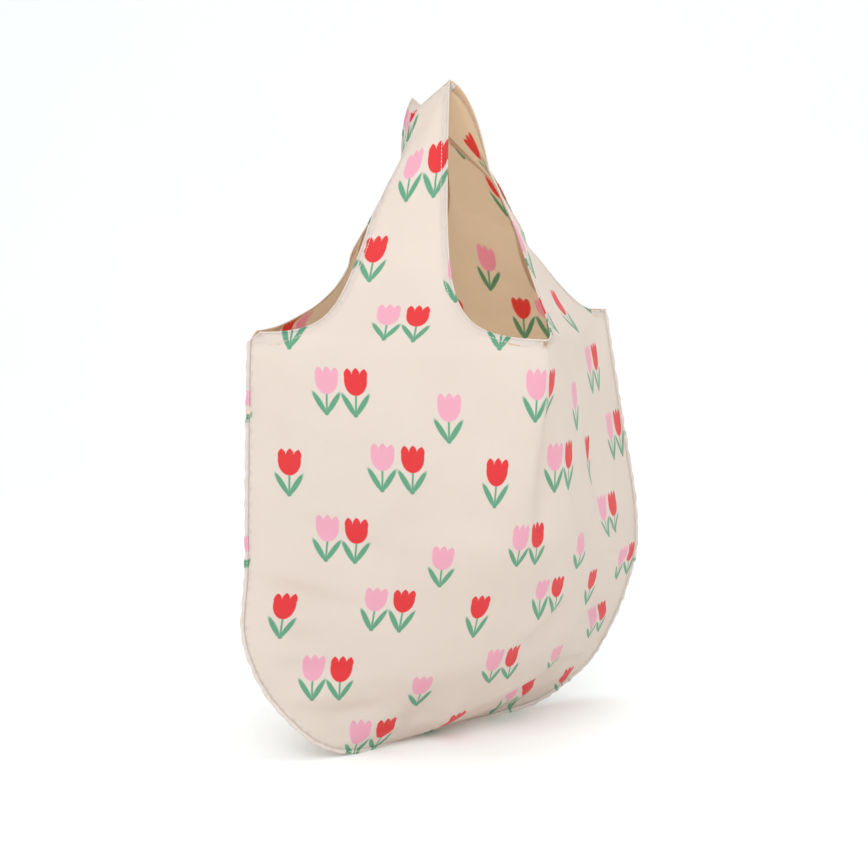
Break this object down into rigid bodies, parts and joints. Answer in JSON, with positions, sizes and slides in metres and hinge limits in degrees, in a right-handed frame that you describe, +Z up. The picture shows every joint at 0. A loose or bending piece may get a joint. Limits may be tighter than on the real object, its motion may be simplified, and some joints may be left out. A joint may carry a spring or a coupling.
{
  "type": "foldable tote bag",
  "caption": "Light printed cloth tote with two wide sewn handle loops, a rounded base and an inner stow pouch with a snap flap.",
  "frame": {"origin": "on the floor of the hanging bag, under the centre between its side seams", "axes": "+Z up, X from side seam to side seam, -Y the front"},
  "size_m": [0.396, 0.343, 0.5653],
  "materials": {
    "printed_cloth": "thin plain-weave polyester, cream with a small flower print, soft sheen",
    "seam_cloth": "the same cloth folded and stitched, no print",
    "snap_plastic": "moulded cream resin"
  },
  "bodies": {
    "bag": {"front_panel": "printed_cloth", "back_panel": "printed_cloth", "side_and_base_seam": "seam_cloth"},
    "front_handle": {"front_left_strap": "printed_cloth", "front_right_strap": "printed_cloth", "front_handle_join": "seam_cloth"},
    "back_handle": {"back_left_strap": "printed_cloth", "back_right_strap": "printed_cloth", "back_handle_join": "seam_cloth"},
    "pouch": {"pouch_tape": "seam_cloth", "pouch_back": "printed_cloth", "pouch_front": "printed_cloth", "pouch_seam": "seam_cloth", "snap_stud": "snap_plastic", "snap_post": "snap_plastic"},
    "pouch_flap": {"pouch_flap": "printed_cloth", "snap_socket": "snap_plastic", "snap_cap": "snap_plastic"}
  },
  "joints": [
    {"name": "front_handle_swing", "type": "hinge", "parent": "bag", "child": "front_handle", "pos_m": [0, -0.1, 0.438], "axis": [1, 0, 0], "range_deg": [0, 100]},
    {"name": "back_handle_swing", "type": "hinge", "parent": "bag", "child": "back_handle", "pos_m": [0, 0.1, 0.433], "axis": [-1, 0, 0], "range_deg": [0, 100]},
    {"name": "pouch_swing", "type": "hinge", "parent": "bag", "child": "pouch", "pos_m": [-0.173, 0, 0.292], "axis": [0, 0, 1], "range_deg": [-28, 28]},
    {"name": "pouch_flap_open", "type": "hinge", "parent": "pouch", "child": "pouch_flap", "pos_m": [-0.0695, -0.0015, 0.303], "axis": [-1, 0, 0], "range_deg": [0, 165]}
  ]
}
